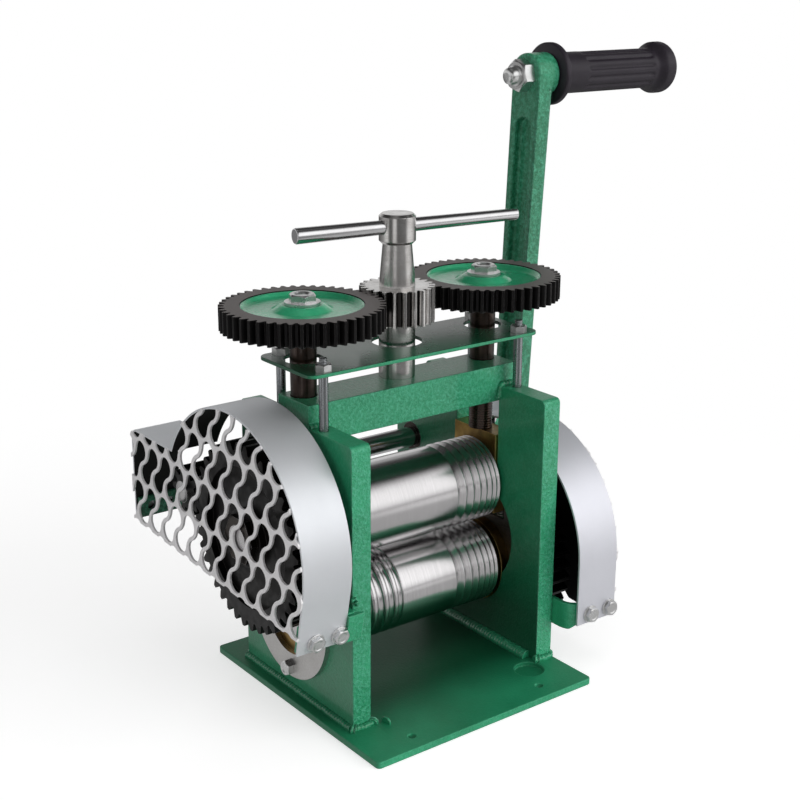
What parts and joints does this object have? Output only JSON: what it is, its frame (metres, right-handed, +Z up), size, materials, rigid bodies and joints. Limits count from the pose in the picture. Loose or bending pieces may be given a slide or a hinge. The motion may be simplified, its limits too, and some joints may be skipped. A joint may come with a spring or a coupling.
{
  "type": "jewellers rolling mill",
  "caption": "Bench rolling mill with two grooved steel rollers in a green welded frame, geared screw-down with a T handle, sheet gear covers and a side crank with a rubber grip.",
  "frame": {"origin": "middle of the base plate's underside", "axes": "+X along the rollers towards the crank, +Y towards the crank shaft at the rear, +Z up"},
  "size_m": [0.3597, 0.2095, 0.3445],
  "materials": {
    "green_paint": "hammered gloss paint",
    "roller_steel": "ground and polished",
    "gear_black": "blackened, worn bright at the tooth tips",
    "adjuster_steel": "bright turned",
    "screw_steel": "oiled dark thread",
    "turned_steel": "turned",
    "zinc": "zinc plated",
    "brass": "machined",
    "aluminium_sheet": "brushed",
    "rubber_grip": "satin"
  },
  "bodies": {
    "frame": {"base_plate": "green_paint", "left_side_plate": "green_paint", "right_side_plate": "green_paint", "crossbeam": "green_paint", "top_plate": "green_paint", "plate_studs": "turned_steel", "plate_stud_nuts": "zinc", "lower_bush_left": "brass", "lower_bush_right": "brass", "lower_flange_left": "turned_steel", "lower_flange_right": "turned_steel", "flange_bolts_left": "zinc", "flange_bolts_right": "zinc", "crank_bush_left": "brass", "crank_bush_right": "brass", "idler_axle": "turned_steel", "idler_axle_nut": "zinc", "block_springs_left": "turned_steel", "block_springs_right": "turned_steel", "left_cover_band": "aluminium_sheet", "right_cover_band": "aluminium_sheet", "left_cover_mesh": "aluminium_sheet", "right_cover_mesh": "aluminium_sheet", "left_cover_bracket": "green_paint", "right_cover_bracket": "green_paint", "left_cover_rear_bracket": "green_paint", "right_cover_rear_bracket": "green_paint", "left_cover_bolts": "zinc", "right_cover_bolts": "zinc"},
    "crank": {"crank_shaft": "turned_steel", "left_crank_pinion": "gear_black", "right_crank_pinion": "gear_black", "crank_arm": "green_paint", "crank_nut": "zinc", "grip_bolt": "turned_steel", "grip_nut": "zinc"},
    "grip": {"crank_grip": "rubber_grip"},
    "idler": {"idler_gear": "gear_black"},
    "lower_roller_set": {"lower_roller": "roller_steel", "lower_roller_gear": "gear_black", "lower_gear_nut": "zinc"},
    "adjuster": {"adjuster_shaft": "adjuster_steel", "adjuster_bar": "adjuster_steel"},
    "carriage": {"upper_block_left": "brass", "upper_block_right": "brass"},
    "upper_bearings": {"upper_bush_left": "brass", "upper_bush_right": "brass"},
    "upper_roller_set": {"upper_roller": "roller_steel", "upper_roller_gear": "gear_black", "upper_gear_nut": "zinc"},
    "left_screw_set": {"left_screw": "screw_steel", "left_screw_gear": "gear_black", "left_gear_washer": "zinc", "left_gear_bolt": "zinc"},
    "right_screw_set": {"right_screw": "screw_steel", "right_screw_gear": "gear_black", "right_gear_washer": "zinc", "right_gear_bolt": "zinc"}
  },
  "joints": [
    {"name": "crank_spin", "type": "hinge", "parent": "frame", "child": "crank", "pos_m": [0, 0.07282, 0.109], "axis": [1, 0, 0], "continuous": true},
    {"name": "grip_spin", "type": "hinge", "parent": "crank", "child": "grip", "pos_m": [0.2, 0.06221, 0.32574], "axis": [1, 0, 0], "continuous": true},
    {"name": "idler_spin", "type": "hinge", "parent": "frame", "child": "idler", "pos_m": [0.091, 0.04325, 0.10389], "axis": [1, 0, 0], "continuous": true},
    {"name": "lower_roller_spin", "type": "hinge", "parent": "frame", "child": "lower_roller_set", "pos_m": [0, 0.0105, 0.0492], "axis": [1, 0, 0], "continuous": true},
    {"name": "screwdown_turn", "type": "hinge", "parent": "frame", "child": "adjuster", "pos_m": [0.00425, 0.0105, 0.2], "axis": [0, 0, 1], "range_deg": [-981.82, 1296]},
    {"name": "carriage_slide", "type": "slide", "parent": "frame", "child": "carriage", "axis": [0, 0, 1], "range_m": [-0.0033, 0.0025], "deforming": ["block_springs_left", "block_springs_right"]},
    {"name": "left_screw_turn", "type": "hinge", "parent": "carriage", "child": "left_screw_set", "pos_m": [-0.057, 0.0105, 0.17], "axis": [0, 0, 1], "range_deg": [-594.5, 450.5]},
    {"name": "right_screw_turn", "type": "hinge", "parent": "carriage", "child": "right_screw_set", "pos_m": [0.0655, 0.0105, 0.17], "axis": [0, 0, 1], "range_deg": [-594.5, 450.5]},
    {"name": "upper_bearing_roll", "type": "hinge", "parent": "carriage", "child": "upper_bearings", "pos_m": [0, 0.0105, 0.1017], "axis": [1, 0, 0], "range_deg": [-2.9, 3.8]},
    {"name": "upper_roller_spin", "type": "hinge", "parent": "upper_bearings", "child": "upper_roller_set", "pos_m": [0, 0.0105, 0.1017], "axis": [1, 0, 0], "continuous": true}
  ],
  "couplings": [
    {"joint": "idler_spin", "follows": "crank_spin", "ratio": -0.6},
    {"joint": "lower_roller_spin", "follows": "crank_spin", "ratio": 0.25},
    {"joint": "upper_roller_spin", "follows": "crank_spin", "ratio": -0.25},
    {"joint": "screwdown_turn", "follows": "carriage_slide", "rad_per_m": -6854.4},
    {"joint": "left_screw_turn", "follows": "carriage_slide", "rad_per_m": 3141.6},
    {"joint": "right_screw_turn", "follows": "carriage_slide", "rad_per_m": 3141.6},
    {"joint": "upper_bearing_roll", "follows": "carriage_slide", "rad_per_m": -20}
  ]
}
